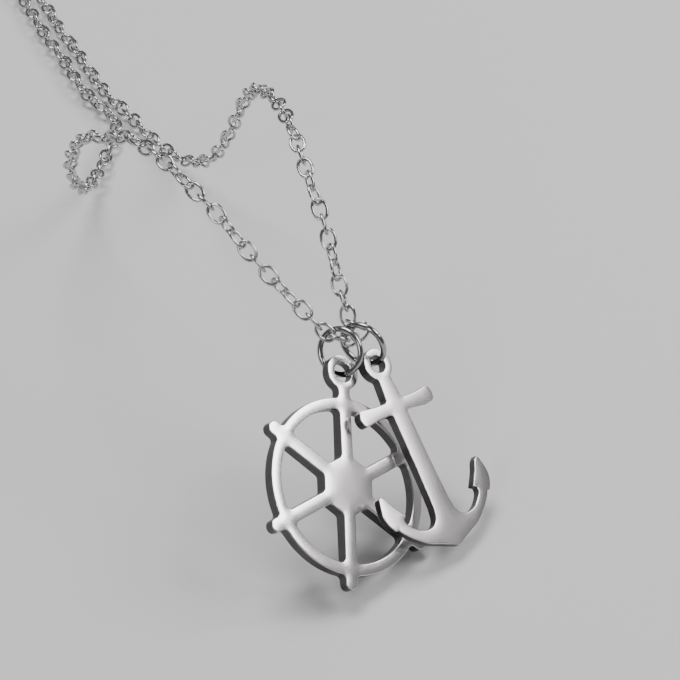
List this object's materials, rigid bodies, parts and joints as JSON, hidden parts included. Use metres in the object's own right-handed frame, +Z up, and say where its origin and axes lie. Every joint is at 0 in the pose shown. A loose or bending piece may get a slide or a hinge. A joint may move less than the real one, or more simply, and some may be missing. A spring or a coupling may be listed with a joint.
{
  "type": "anchor and ship's wheel pendant necklace",
  "caption": "Fine steel cable chain necklace with a flat anchor charm and a flat ship's wheel charm on jump rings, draped as it hangs.",
  "frame": {"origin": "top of the drape, midway between the two strands, where the necklace hangs over what holds it", "axes": "+Z up, +Y from the charms towards the clasp, +X to the right seen from the charms' side"},
  "size_m": [0.1071, 0.1995, 0.0379],
  "materials": {
    "charm_steel": "polished stainless steel, softly brushed faces with bright edges",
    "ring_steel": "polished stainless steel wire",
    "chain_steel": "polished stainless steel wire links"
  },
  "bodies": {
    "root": {"ship_wheel": "charm_steel", "anchor": "charm_steel", "wheel_jump_ring": "ring_steel", "anchor_jump_ring": "ring_steel", "chain_left": "chain_steel", "chain_right": "chain_steel", "clasp": "ring_steel", "end_ring": "ring_steel"}
  },
  "joints": []
}
